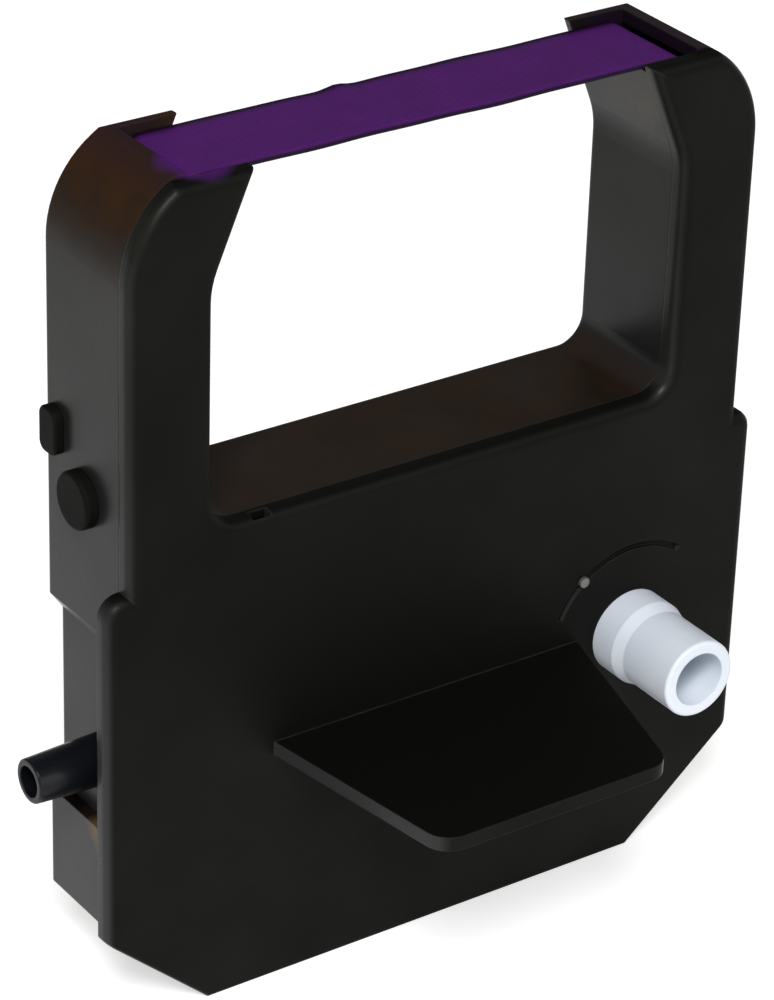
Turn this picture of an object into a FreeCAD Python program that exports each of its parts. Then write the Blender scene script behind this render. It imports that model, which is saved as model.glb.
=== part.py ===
import FreeCAD, Part
import math
import os
import re

import Sketcher

# Ribbon cartridge for a small dot-matrix printer, in millimetres.
# X runs to the right and Y to the back, as seen from the drive knob's side, and Z runs up.
# The origin is the middle of the flat bottom edge, halfway between the front and the back.

doc = FreeCAD.newDocument("ribbon_cartridge")

# Driving sizes
SIZES = {
    # case outline
    "case_height": 103.85,
    "case_half": 42.1,
    "window_half": 31.5,
    "window_floor": 61.7,
    "window_corner": 3.5,
    "tip_half": 26.3,
    "flare_height": 12.95,
    "flare_blend": 10.0,
    "arm_corner": 12.8,
    "arm_drop": 4.35,
    "arm_lean": 1.55,
    "front_drop": 0.45,
    "foot_left": 31.6,
    "foot_right": 29.3,
    "bevel_left": 12.0,
    "bevel_right": 13.3,
    "side_lift": 0.8,
    # front plate
    "cover_thickness": 2.4,
    "flange_left": 2.9,
    "flange_right": 2.4,
    "flange_top": 56.2,
    "flange_corner": 2.6,
    "front_edge_round": 0.5,
    "top_edge_round": 1.5,
    "mark_radius": 11.5,
    "mark_groove": 0.8,
    "mark_depth": 0.5,
    "mark_from": 54.0,
    "mark_to": 157.0,
    "index_dot_angle": 130.0,
    "index_dot_radius": 0.7,
    "index_dot_height": 0.3,
    # finger tab
    "tab_top": 32.1,
    "tab_thickness": 1.8,
    "tab_reach": 27.2,
    "tab_root_left": 23.3,
    "tab_root_right": 20.1,
    "tab_tip_left": 18.7,
    "tab_tip_right": 12.5,
    "tab_corner": 3.2,
    # shell walls and recess
    "wall": 1.6,
    "back_wall": 1.6,
    "window_wall": 1.2,
    "back_edge_round": 0.8,
    "recess_depth": 1.65,
    "recess_low": 23.0,
    "recess_high": 48.8,
    "recess_slope": 2.3,
    # ribbon
    "ribbon_width": 13.0,
    "ribbon_thickness": 0.25,
    "ribbon_drop": 0.95,
    "ribbon_side_gap": 0.5,
    "ribbon_gap": 0.15,
    "slot_gap": 0.6,
    "fold_pitch": 1.75,
    "fold_spread": 3.0,
    "fold_low": 7.8,
    "fold_gap": 2.5,
    # corner guide rollers
    "guide_radius": 1.5,
    "guide_post": 0.8,
    "guide_gap": 0.9,
    "lower_guide": 1.2,
    # drive wheel with its knob
    "drive_x": 27.6,
    "drive_z": 31.2,
    "wheel_radius": 10.0,
    "wheel_width": 11.0,
    "wheel_teeth": 40,
    "tooth_depth": 0.55,
    "wheel_hub": 4.8,
    "wheel_rim": 1.5,
    "wheel_core_depth": 8.5,
    "wheel_rib": 1.1,
    "wheel_ribs": 6,
    "knob_base_radius": 5.4,
    "knob_base_length": 3.6,
    "knob_radius": 4.9,
    "knob_taper": 1.6,
    "knob_length": 13.5,
    "knob_bore": 3.4,
    "knob_bore_depth": 24.0,
    "deep_bore": 3.1,
    "knob_lip": 0.4,
    "spline_start": 9.0,
    "spline_length": 10.0,
    "spline_height": 0.7,
    "spline_width": 1.4,
    "splines": 4,
    "rear_journal": 2.9,
    "rear_window": 2.0,
    "bearing_wall": 1.6,
    "bearing_gap": 0.3,
    "thrust_ring": 1.9,
    "running_gap": 0.05,
    "washer_thickness": 0.4,
    "washer_width": 2.2,
    # pressure roller on its sprung arm
    "nip_angle": 99.0,
    "roller_teeth": 20,
    "roller_side_gap": 0.2,
    "axle_radius": 1.2,
    "pivot_reach": 13.0,
    "pivot_rise": 2.2,
    "pivot_post": 1.6,
    "arm_boss": 2.7,
    "arm_bridge_gap": 1.1,
    "arm_side_gap": 0.4,
    "cheek_thickness": 1.2,
    "seat_offset": 5.0,
    "seat_rise": 3.5,
    "seat_pip": 1.1,
    "seat_pip_height": 1.5,
    "spring_radius": 1.6,
    "spring_wire": 0.22,
    "spring_turns": 5,
    # ribbon brake in the left arm
    "brake_rise": 14.3,
    "brake_height": 5.0,
    "brake_corner": 0.15,
    "brake_pad": 0.9,
    "leaf_thickness": 0.25,
    "leaf_width": 8.0,
    "leaf_slant": 3.2,
    "leaf_foot": 3.6,
    "leaf_foot_drop": 4.3,
    "holder_width": 0.8,
    # snap pins and their sockets
    "socket_radius": 1.8,
    "pin_radius": 0.9,
    "pin_length": 4.5,
    # peg and studs on the left side
    "peg_z": 30.9,
    "peg_length": 9.5,
    "peg_root": 3.05,
    "peg_end": 2.65,
    "peg_bore": 1.9,
    "peg_bore_depth": 6.5,
    "peg_spigot": 1.8,
    "stud_z": 64.3,
    "stud_y": 0.9,
    "stud_radius": 3.4,
    "stud_height": 1.6,
    "key_z": 70.3,
    "key_inset": 2.3,
    "key_width": 3.5,
    "key_height": 5.6,
    "key_proud": 1.2,
    "spigot_radius": 1.2,
    "spigot_gap": 0.02,
    "spigot_past_wall": 0.5,
    # small notch in the window's floor
    "notch_x": 24.9,
    "notch_width": 2.4,
    "notch_depth": 1.3,
    "feed_guard": 1.2,
    "feed_guard_gap": 1.1,
    "feed_guard_clear": 1.3,
}

# Sizes that follow from the driving ones
DERIVED = {
    "case_depth": "ribbon_width + 2 * ribbon_side_gap + cover_thickness + back_wall",
    "front": "-case_depth / 2",
    "back": "case_depth / 2",
    "cover_inner": "front + cover_thickness",
    "back_inner": "back - back_wall",
    "room": "back_inner - cover_inner",
    "middle": "(back_inner + cover_inner) / 2",
    "front_top": "case_height - front_drop",
    "arm_turn": "case_height - arm_drop",
    "edge_left": "case_half + flange_left",
    "edge_right": "case_half + flange_right",
    "slope_left": "bevel_left / (edge_left - foot_left)",
    "slope_right": "bevel_right / (edge_right - foot_right)",
    "side_low_left": "(case_half - foot_left) * slope_left + side_lift",
    "side_low_right": "(case_half - foot_right) * slope_right",
    "inner_half": "case_half - wall",
    "inner_turn": "arm_turn - wall * tan(atan(arm_lean) / 2)",
    "inner_crest": "inner_half - (case_height - wall - inner_turn) * arm_lean",
    "inner_foot_left": "foot_left - wall * tan(atan(slope_left) / 2)",
    "inner_foot_right": "foot_right - wall * tan(atan(slope_right) / 2)",
    "inner_low_left": "side_low_left + wall * tan((90 deg - atan(slope_left)) / 2)",
    "inner_low_right": "side_low_right + wall * tan((90 deg - atan(slope_right)) / 2)",
    "recess_half": "case_half - recess_depth",
    "ceiling": "window_floor - wall",
    "flare_start": "case_height - flare_height",
    "flare_angle": "atan((window_half - tip_half) / (case_height - flare_start))",
    "inner_flare": "flare_start - window_wall * tan(flare_angle / 2)",
    "flare_at_top": "tip_half + window_wall / cos(flare_angle)",
    "ribbon_level": "case_height - ribbon_drop",
    "ribbon_bottom": "ribbon_level - ribbon_thickness",
    "ribbon_half": "ribbon_thickness / 2",
    "guide_turn": "guide_radius + ribbon_gap + ribbon_half",
    "guide_z": "ribbon_level - ribbon_half - guide_turn",
    "guide_across": "(window_wall + guide_gap + guide_radius) / cos(flare_angle)",
    "guide_x": "window_half - (guide_z - flare_start) * tan(flare_angle) + guide_across",
    "slot_reach": "ribbon_x + ribbon_half + slot_gap",
    "ribbon_x": "guide_x + guide_turn",
    "way_floor": "ribbon_bottom - 0.25",
    "wheel_pitch": "wheel_radius + ribbon_gap + ribbon_half",
    "roller_pitch": "wheel_pitch * roller_teeth / wheel_teeth",
    "roller_radius": "roller_pitch - ribbon_gap - ribbon_half",
    "roller_x": "drive_x + (wheel_pitch + roller_pitch) * cos(nip_angle)",
    "roller_z": "drive_z + (wheel_pitch + roller_pitch) * sin(nip_angle)",
    "nip_x": "drive_x + wheel_pitch * cos(nip_angle)",
    "nip_z": "drive_z + wheel_pitch * sin(nip_angle)",
    "lower_turn": "lower_guide + ribbon_gap + ribbon_half",
    "lower_x": "ribbon_x - lower_turn",
    "lower_run": "(lower_x - nip_x - lower_turn * cos(nip_angle)) / sin(nip_angle)",
    "lower_z": "nip_z - lower_run * cos(nip_angle) + lower_turn * sin(nip_angle)",
    "wheel_front": "middle - wheel_width / 2",
    "wheel_back": "middle + wheel_width / 2",
    "bearing_height": "back_inner - wheel_back - bearing_gap",
    "roller_width": "room - 2 * (arm_side_gap + cheek_thickness + roller_side_gap)",
    "arm_pivot_x": "roller_x - pivot_reach",
    "arm_pivot_z": "roller_z + pivot_rise",
    "arm_bridge": "roller_x - roller_radius - arm_bridge_gap - arm_pivot_x",
    "fold_high": "arm_pivot_z - arm_boss - fold_gap",
    "feed_guard_x": "drive_x - wheel_radius - feed_guard_gap - feed_guard",
    "feed_guard_top": "nip_z - (nip_x - feed_guard_x) * tan(nip_angle - 90) - feed_guard_clear",
    "knob_front": "front - knob_length",
    "seat_x": "arm_pivot_x + seat_offset",
    "seat_z": "arm_pivot_z + seat_rise",
    "peg_y": "0",
    "key_y": "back - key_inset",
    "brake_z": "window_floor + brake_rise",
    "brake_low": "brake_z - brake_height / 2",
    "brake_high": "brake_z + brake_height / 2",
    "leaf_foot_high": "brake_low - leaf_foot_drop",
    "leaf_foot_low": "leaf_foot_high - leaf_foot",
    "leaf_foot_x": "leaf_end_x + leaf_slant",
    "brake_face": "ribbon_x - ribbon_half - ribbon_gap",
    "pad_face": "ribbon_x + ribbon_half + ribbon_gap",
    "leaf_end_x": "pad_face + brake_pad",
}

sheet = doc.addObject("Spreadsheet::Sheet", "Sizes")
for row, (alias, value) in enumerate(SIZES.items(), 1):
    sheet.set(f"A{row}", alias.replace("_", " "))
    sheet.set(f"B{row}", str(value))
    sheet.setAlias(f"B{row}", alias)
doc.recompute()


WORD = re.compile(r"[a-z][a-z_]*")


def bound(text):
    """Turns a formula in size names into an expression on the sheet."""
    before = ""
    while text != before:
        before = text
        text = WORD.sub(lambda word: f"({DERIVED[word[0]]})" if word[0] in DERIVED else word[0], text)
    return WORD.sub(lambda word: f"Sizes.{word[0]}" if word[0] in SIZES else word[0], text)


def number(text):
    """Works out a formula in size names."""
    value = sheet.evalExpression(bound(str(text)))
    return float(getattr(value, "Value", value))


# Planes that a sketch can lie on: the origin plane's role and the sign of its offset
PLANES = {"front": ("XZ_Plane", -1), "side": ("YZ_Plane", 1), "top": ("XY_Plane", 1)}


def origin_part(body, role):
    """Finds one of a body's own origin planes or axes."""
    return next(item for item in body.Origin.OriginFeatures if item.Role == role)


def new_body(name):
    body = doc.addObject("PartDesign::Body", name)
    body.Label = name
    return body


def place(body, x="0", y="0", z="0"):
    """Puts a body's own origin at a place given by formulas."""
    for axis, formula in zip("xyz", (x, y, z)):
        body.setExpression(f"Placement.Base.{axis}", bound(formula))


def sketch_on(body, name, plane, level="0"):
    role, sign = PLANES[plane]
    sketch = body.newObject("Sketcher::SketchObject", name)
    sketch.AttachmentSupport = [(origin_part(body, role), "")]
    sketch.MapMode = "FlatFace"
    sketch.setExpression("AttachmentOffset.Base.z", bound(f"{sign} * ({level})"))
    return sketch


def fix_point(sketch, geometry, position, across, up, label):
    """Ties a point of a sketch to two formulas."""
    for kind, formula, axis in (("DistanceX", across, -2), ("DistanceY", up, -1)):
        value = number(formula)
        if abs(value) < 1e-9:
            sketch.addConstraint(Sketcher.Constraint("PointOnObject", geometry, position, axis))
            continue
        index = sketch.addConstraint(Sketcher.Constraint(kind, -1, 1, geometry, position, value))
        tag = f"{kind[-1].lower()}_{label}"
        sketch.renameConstraint(index, tag)
        sketch.setExpression(f"Constraints.{tag}", bound(formula))


def fix_radius(sketch, geometry, formula, label):
    index = sketch.addConstraint(Sketcher.Constraint("Radius", geometry, number(formula)))
    sketch.renameConstraint(index, f"r_{label}")
    sketch.setExpression(f"Constraints.r_{label}", bound(formula))


def outline(sketch, corners, label=""):
    """Adds a closed outline through corners (across, up[, radius]), each a formula."""
    points = [FreeCAD.Vector(number(c[0]), number(c[1]), 0) for c in corners]
    radii = [number(c[2]) if len(c) > 2 else 0.0 for c in corners]
    count = len(corners)
    starts, ends, arcs = [], [], {}
    for i, corner in enumerate(points):
        into = (corner - points[i - 1]).normalize()
        out = (points[(i + 1) % count] - corner).normalize()
        turn = math.atan2(into.cross(out).z, into.dot(out))
        setback = radii[i] * math.tan(abs(turn) / 2)
        starts.append(corner + out * setback)
        ends.append(corner - into * setback)
        if radii[i]:
            side = math.copysign(1, turn)
            centre = ends[i] + FreeCAD.Vector(-into.y, into.x, 0) * radii[i] * side
            arcs[i] = (centre, side)
    base = sketch.GeometryCount
    for i in range(count):
        sketch.addGeometry(Part.LineSegment(starts[i], ends[(i + 1) % count]), False)
    for i in range(count):
        line_in = base + (i - 1) % count
        line_out = base + i
        if i not in arcs:
            sketch.addConstraint(Sketcher.Constraint("Coincident", line_in, 2, line_out, 1))
            fix_point(sketch, line_out, 1, corners[i][0], corners[i][1], f"{label}{i}")
            continue
        centre, side = arcs[i]
        first, last = (ends[i], starts[i]) if side > 0 else (starts[i], ends[i])
        begin = math.atan2(first.y - centre.y, first.x - centre.x)
        stop = math.atan2(last.y - centre.y, last.x - centre.x)
        circle = Part.Circle(centre, FreeCAD.Vector(0, 0, 1), radii[i])
        arc = sketch.addGeometry(Part.ArcOfCircle(circle, begin, stop), False)
        tip = sketch.addGeometry(Part.Point(points[i]), True)
        enter, leave = (1, 2) if side > 0 else (2, 1)
        sketch.addConstraint(Sketcher.Constraint("Tangent", line_in, 2, arc, enter))
        sketch.addConstraint(Sketcher.Constraint("Tangent", arc, leave, line_out, 1))
        sketch.addConstraint(Sketcher.Constraint("PointOnObject", tip, 1, line_in))
        sketch.addConstraint(Sketcher.Constraint("PointOnObject", tip, 1, line_out))
        fix_point(sketch, tip, 1, corners[i][0], corners[i][1], f"{label}{i}")
        fix_radius(sketch, arc, corners[i][2], f"{label}{i}")
    return sketch


def circles(sketch, places, label="c"):
    """Adds full circles (across, up, radius), each a formula."""
    for i, (across, up, radius) in enumerate(places):
        centre = FreeCAD.Vector(number(across), number(up), 0)
        circle = Part.Circle(centre, FreeCAD.Vector(0, 0, 1), number(radius))
        index = sketch.addGeometry(circle, False)
        fix_point(sketch, index, 3, across, up, f"{label}{i}")
        fix_radius(sketch, index, radius, f"{label}{i}")
    return sketch


def feature(body, kind, name, sketch, length, flip):
    item = body.newObject(f"PartDesign::{kind}", name)
    item.Profile = sketch
    item.Reversed = flip
    item.setExpression("Length", bound(length))
    doc.recompute()
    return item


def pad(body, name, sketch, length, flip=False):
    """Adds material along the sketch's own direction: front, right or up."""
    return feature(body, "Pad", name, sketch, length, flip)


def pocket(body, name, sketch, length, flip=False):
    """Takes material away against the sketch's own direction: to the back, left or down."""
    before = body.Shape.Volume
    item = feature(body, "Pocket", name, sketch, length, flip)
    if not item.Shape.Volume < before - 1e-6:
        raise RuntimeError(f"{name} cuts nothing")
    return item


def spin(body, name, sketch, axis):
    """Turns a profile about the sketch's horizontal or vertical axis."""
    item = body.newObject("PartDesign::Revolution", name)
    item.Profile = sketch
    item.ReferenceAxis = (sketch, [axis])
    item.Angle = 360
    doc.recompute()
    return item


def around(body, name, original, count):
    """Repeats a feature about the body's own Y axis."""
    item = body.newObject("PartDesign::PolarPattern", name)
    item.Originals = [original]
    item.Axis = (origin_part(body, "Y_Axis"), [""])
    item.Angle = 360
    item.setExpression("Occurrences", bound(count))
    body.Tip = item
    doc.recompute()
    return item


def soften(body, name, radius, chosen):
    """Rounds the edges of the body's last feature that a test picks out."""
    last = body.Tip
    edges = [f"Edge{i}" for i, edge in enumerate(last.Shape.Edges, 1) if chosen(edge)]
    item = body.newObject("PartDesign::Fillet", name)
    item.Base = (last, edges)
    item.setExpression("Radius", bound(radius))
    doc.recompute()
    return item


def lies_at(edge, level):
    """True where an edge lies wholly in the plane y = level."""
    box = edge.BoundBox
    return abs(box.YMin - level) < 1e-4 and abs(box.YMax - level) < 1e-4


def outside_arm(edge):
    """True for the edges that run up the outside of an arm and over its top."""
    box = edge.BoundBox
    middle = edge.CenterOfMass
    above = box.ZMin > number("flange_top") - 1e-3
    return above and (abs(middle.x) > number("window_half") or box.ZMin > number("front_top") - 1e-3)


def arms(half, top, corner, tip, top_of_tip, flare, inner, blend):
    """The right arm's corners, from the outer top corner down to the window's floor."""
    return [
        (half, "arm_turn", corner),
        (f"{half} - ({top} - arm_turn) * arm_lean", top),
        (tip, top_of_tip),
        (inner, flare, blend),
    ]


def mirrored(corners):
    """The same corners on the left, in the reverse order."""
    return [(f"-({c[0]})", *c[1:]) for c in reversed(corners)]


# Places of the snap sockets, clear of the ribbon and of the wheels
SOCKETS = [
    ("-foot_left + 4.6", "wall + socket_radius - 0.1"),
    ("foot_right - 21.3", "wall + socket_radius - 0.1"),
    ("-window_half + 9.5", "ceiling - socket_radius + 0.1"),
    ("2", "ceiling - socket_radius + 0.1"),
    ("inner_half - socket_radius + 0.2", "82"),
    ("-(inner_half - socket_radius + 0.2)", "85"),
]


def make_rear_shell():
    """Moulded tray: back wall, side walls, both arms, posts and the bearing of the drive wheel."""
    body = new_body("rear_shell")
    depth = "back - cover_inner"
    block = sketch_on(body, "case_outline", "front", "cover_inner")
    right_arm = arms("case_half", "case_height", "arm_corner", "tip_half", "case_height",
                     "flare_start", "window_half", "flare_blend")
    window = [("window_half", "window_floor", "window_corner")]
    outline(block, [
        ("-foot_left", "0"),
        ("foot_right", "0"),
        ("case_half", "side_low_right"),
        *right_arm,
        *window,
        *mirrored(window),
        *mirrored(right_arm),
        ("-case_half", "recess_high"),
        ("-recess_half", "recess_high - recess_slope"),
        ("-recess_half", "recess_low"),
        ("-case_half", "recess_low"),
        ("-case_half", "side_low_left"),
    ])
    pad(body, "case_block", block, depth, flip=True)
    back = number("back")
    soften(body, "back_edges", "back_edge_round", lambda edge: lies_at(edge, back))

    inside = sketch_on(body, "inside_outline", "front", "cover_inner")
    arm_room = [
        ("inner_half", "inner_turn", "arm_corner - wall"),
        ("inner_crest", "case_height - wall"),
        ("flare_at_top + wall * tan(flare_angle)", "case_height - wall"),
        ("window_half + window_wall", "inner_flare"),
    ]
    outline(inside, [
        ("-inner_foot_left", "wall"),
        ("inner_foot_right", "wall"),
        ("inner_half", "inner_low_right"),
        *arm_room,
        ("window_half + window_wall", "ceiling"),
        ("-(window_half + window_wall)", "ceiling"),
        *mirrored(arm_room),
        ("-inner_half", "recess_high + wall"),
        ("-(recess_half - wall)", "recess_high + wall - recess_slope"),
        ("-(recess_half - wall)", "recess_low - wall"),
        ("-inner_half", "recess_low - wall"),
        ("-inner_half", "inner_low_left"),
    ])
    pocket(body, "inside", inside, "room")

    above = "case_height + 2"
    slot = [
        ("slot_reach", "inner_flare"),
        ("slot_reach", above),
        ("flare_at_top - 2 * tan(flare_angle)", above),
        ("window_half + window_wall", "inner_flare"),
    ]
    slots = sketch_on(body, "ribbon_slot_outlines", "front", "cover_inner")
    outline(slots, slot, "right")
    outline(slots, mirrored(slot), "left")
    pocket(body, "ribbon_slots", slots, "room")

    way = sketch_on(body, "ribbon_way_outline", "front", "cover_inner")
    outline(way, [("tip_half - 2", "way_floor"), ("slot_reach", "way_floor"),
                  ("slot_reach", above), ("tip_half - 2", above)], "right")
    outline(way, [("-slot_reach", "way_floor"), ("-(tip_half - 2)", "way_floor"),
                  ("-(tip_half - 2)", above), ("-slot_reach", above)], "left")
    pocket(body, "ribbon_way", way, "room")

    posts = sketch_on(body, "post_places", "front", "back_inner")
    circles(posts, [
        ("guide_x", "guide_z", "guide_post"),
        ("-guide_x", "guide_z", "guide_post"),
        ("lower_x", "lower_z", "lower_guide"),
        ("arm_pivot_x", "arm_pivot_z", "pivot_post"),
    ])
    pad(body, "posts", posts, "room - 0.1")
    sockets = sketch_on(body, "socket_places", "front", "back_inner")
    circles(sockets, [(x, z, "socket_radius") for x, z in SOCKETS])
    pad(body, "sockets", sockets, "room - 0.05")
    holes = sketch_on(body, "socket_holes", "front", "cover_inner")
    circles(holes, [(x, z, "pin_radius + running_gap") for x, z in SOCKETS])
    pocket(body, "socket_bores", holes, "pin_length + 1")

    guard = sketch_on(body, "feed_guard_outline", "front", "back_inner")
    outline(guard, [
        ("feed_guard_x", "wall / 2"),
        ("feed_guard_x + feed_guard", "wall / 2"),
        ("feed_guard_x + feed_guard", "feed_guard_top", "feed_guard * 0.45"),
        ("feed_guard_x", "feed_guard_top", "feed_guard * 0.45"),
    ])
    pad(body, "feed_guard", guard, "room - 0.1")

    brake = sketch_on(body, "brake_outline", "front", "back_inner")
    outline(brake, [
        ("-brake_face", "brake_low", "brake_corner"),
        ("-(window_half + window_wall / 2)", "brake_low"),
        ("-(window_half + window_wall / 2)", "brake_high"),
        ("-brake_face", "brake_high", "brake_corner"),
    ], "brake")
    leaf_side = "leaf_thickness / 2 + 0.05"
    for name, left, right in (
        ("outer", "-(inner_half + wall / 2)", f"-(leaf_foot_x + {leaf_side})"),
        ("inner", f"-(leaf_foot_x - ({leaf_side}))", f"-(leaf_foot_x - ({leaf_side}) - holder_width)"),
    ):
        outline(brake, [(left, "leaf_foot_low"), (right, "leaf_foot_low"),
                        (right, "leaf_foot_high - 0.8"), (left, "leaf_foot_high - 0.8")], name)
    pad(body, "brake_block", brake, "room - 0.6")

    ring = sketch_on(body, "bearing_outline", "front", "back_inner")
    circles(ring, [("drive_x", "drive_z", "rear_journal + running_gap + bearing_wall")])
    pad(body, "bearing_ring", ring, "bearing_height")
    seat = sketch_on(body, "bearing_seat", "front", "back_inner - bearing_height")
    circles(seat, [("drive_x", "drive_z", "rear_journal + running_gap")])
    pocket(body, "bearing_bore", seat, "bearing_height")
    window = sketch_on(body, "rear_window_outline", "front", "back_inner")
    circles(window, [("drive_x", "drive_z", "rear_window")])
    pocket(body, "rear_window_hole", window, "back_wall")

    pip = sketch_on(body, "spring_pip_place", "top", "ceiling - seat_pip_height")
    circles(pip, [("seat_x", "middle", "seat_pip")])
    pad(body, "spring_pip", pip, "seat_pip_height + wall / 2")

    peg = sketch_on(body, "peg_hole_place", "side", "-case_half / 2 - recess_half / 2")
    circles(peg, [("peg_y", "peg_z", "peg_spigot + spigot_gap")])
    pocket(body, "peg_hole", peg, "wall + recess_depth", flip=True)
    pins = sketch_on(body, "stud_hole_places", "side", "-case_half")
    circles(pins, [
        ("stud_y", "stud_z", "spigot_radius + spigot_gap"),
        ("key_y", "key_z", "spigot_radius + spigot_gap"),
    ])
    pocket(body, "stud_holes", pins, "wall + 0.1", flip=True)
    return body


def make_front_cover():
    """Moulded front plate with its side flanges, the finger tab and the snap pins."""
    body = new_body("front_cover")
    plate = sketch_on(body, "plate_outline", "front", "front")
    right_arm = arms("case_half", "front_top", "arm_corner", "tip_half", "front_top",
                     "flare_start", "window_half", "flare_blend")
    window = [("window_half", "window_floor", "window_corner")]
    outline(plate, [
        ("-foot_left", "0"),
        ("foot_right", "0"),
        ("edge_right", "bevel_right"),
        ("edge_right", "flange_top", "flange_corner - (flange_left - flange_right)"),
        ("case_half", "flange_top"),
        *right_arm,
        *window,
        *mirrored(window),
        *mirrored(right_arm),
        ("-case_half", "flange_top"),
        ("-edge_left", "flange_top", "flange_corner"),
        ("-edge_left", "bevel_left"),
    ])
    pad(body, "plate", plate, "cover_thickness", flip=True)
    front = number("front")
    soften(body, "top_edges", "top_edge_round", lambda edge: lies_at(edge, front) and outside_arm(edge))
    soften(body, "front_edges", "front_edge_round", lambda edge: lies_at(edge, front) and not outside_arm(edge))

    hole = sketch_on(body, "knob_hole_place", "front", "front")
    circles(hole, [("drive_x", "drive_z", "knob_base_radius + running_gap")])
    pocket(body, "knob_hole", hole, "cover_thickness")
    groove = sketch_on(body, "turn_mark_outline", "front", "front")
    turn_mark(groove)
    pocket(body, "turn_mark", groove, "mark_depth")
    dot = sketch_on(body, "index_dot_place", "front", "front + mark_depth + 0.2")
    circles(dot, [(
        "drive_x + mark_radius * cos(index_dot_angle)",
        "drive_z + mark_radius * sin(index_dot_angle)",
        "index_dot_radius",
    )])
    pad(body, "index_dot", dot, "mark_depth + 0.2 + index_dot_height")

    tab = sketch_on(body, "tab_outline", "top", "tab_top")
    outline(tab, [
        ("-tab_tip_left", "front - tab_reach", "tab_corner"),
        ("tab_tip_right", "front - tab_reach", "tab_corner"),
        ("tab_root_right", "front + cover_thickness / 2"),
        ("-tab_root_left", "front + cover_thickness / 2"),
    ])
    pad(body, "finger_tab", tab, "tab_thickness", flip=True)

    pins = sketch_on(body, "snap_pin_places", "front", "cover_inner - cover_thickness / 2")
    circles(pins, [(x, z, "pin_radius") for x, z in SOCKETS])
    pad(body, "snap_pins", pins, "pin_length + cover_thickness / 2", flip=True)

    notch = sketch_on(body, "notch_outline", "top", "window_floor")
    outline(notch, [
        ("-(notch_x + notch_width / 2)", "front + 0.5"),
        ("-(notch_x - notch_width / 2)", "front + 0.5"),
        ("-(notch_x - notch_width / 2)", "front + 0.5 + notch_depth"),
        ("-(notch_x + notch_width / 2)", "front + 0.5 + notch_depth"),
    ])
    pocket(body, "floor_notch", notch, "2.5")
    return body


def turn_mark(sketch):
    """A curved groove about the knob, with round ends, that marks the way it turns."""
    centre = FreeCAD.Vector(number("drive_x"), number("drive_z"), 0)
    ring = {side: number(f"mark_radius {side} mark_groove / 2") for side in "+-"}
    first, last = (math.radians(number(name)) for name in ("mark_from", "mark_to"))
    up = FreeCAD.Vector(0, 0, 1)
    outer = sketch.addGeometry(Part.ArcOfCircle(Part.Circle(centre, up, ring["+"]), first, last), False)
    inner = sketch.addGeometry(Part.ArcOfCircle(Part.Circle(centre, up, ring["-"]), first, last), False)
    for index, formula, label in ((outer, "mark_radius + mark_groove / 2", "outer"),
                                  (inner, "mark_radius - mark_groove / 2", "inner")):
        fix_point(sketch, index, 3, "drive_x", "drive_z", label)
        fix_radius(sketch, index, formula, label)
    ends = []
    for position, angle in ((1, first), (2, last)):
        start = centre + FreeCAD.Vector(math.cos(angle), math.sin(angle), 0) * ring["-"]
        stop = centre + FreeCAD.Vector(math.cos(angle), math.sin(angle), 0) * ring["+"]
        line = sketch.addGeometry(Part.LineSegment(start, stop), False)
        sketch.addConstraint(Sketcher.Constraint("Coincident", line, 1, inner, position))
        sketch.addConstraint(Sketcher.Constraint("Coincident", line, 2, outer, position))
        ends.append(line)
    for line, name in zip(ends, ("mark_from", "mark_to")):
        value = math.radians(number(name))
        index = sketch.addConstraint(Sketcher.Constraint("Angle", -1, 1, line, 1, value))
        sketch.renameConstraint(index, name)
        sketch.setExpression(f"Constraints.{name}", bound(f"{name} * 1 deg"))


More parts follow.
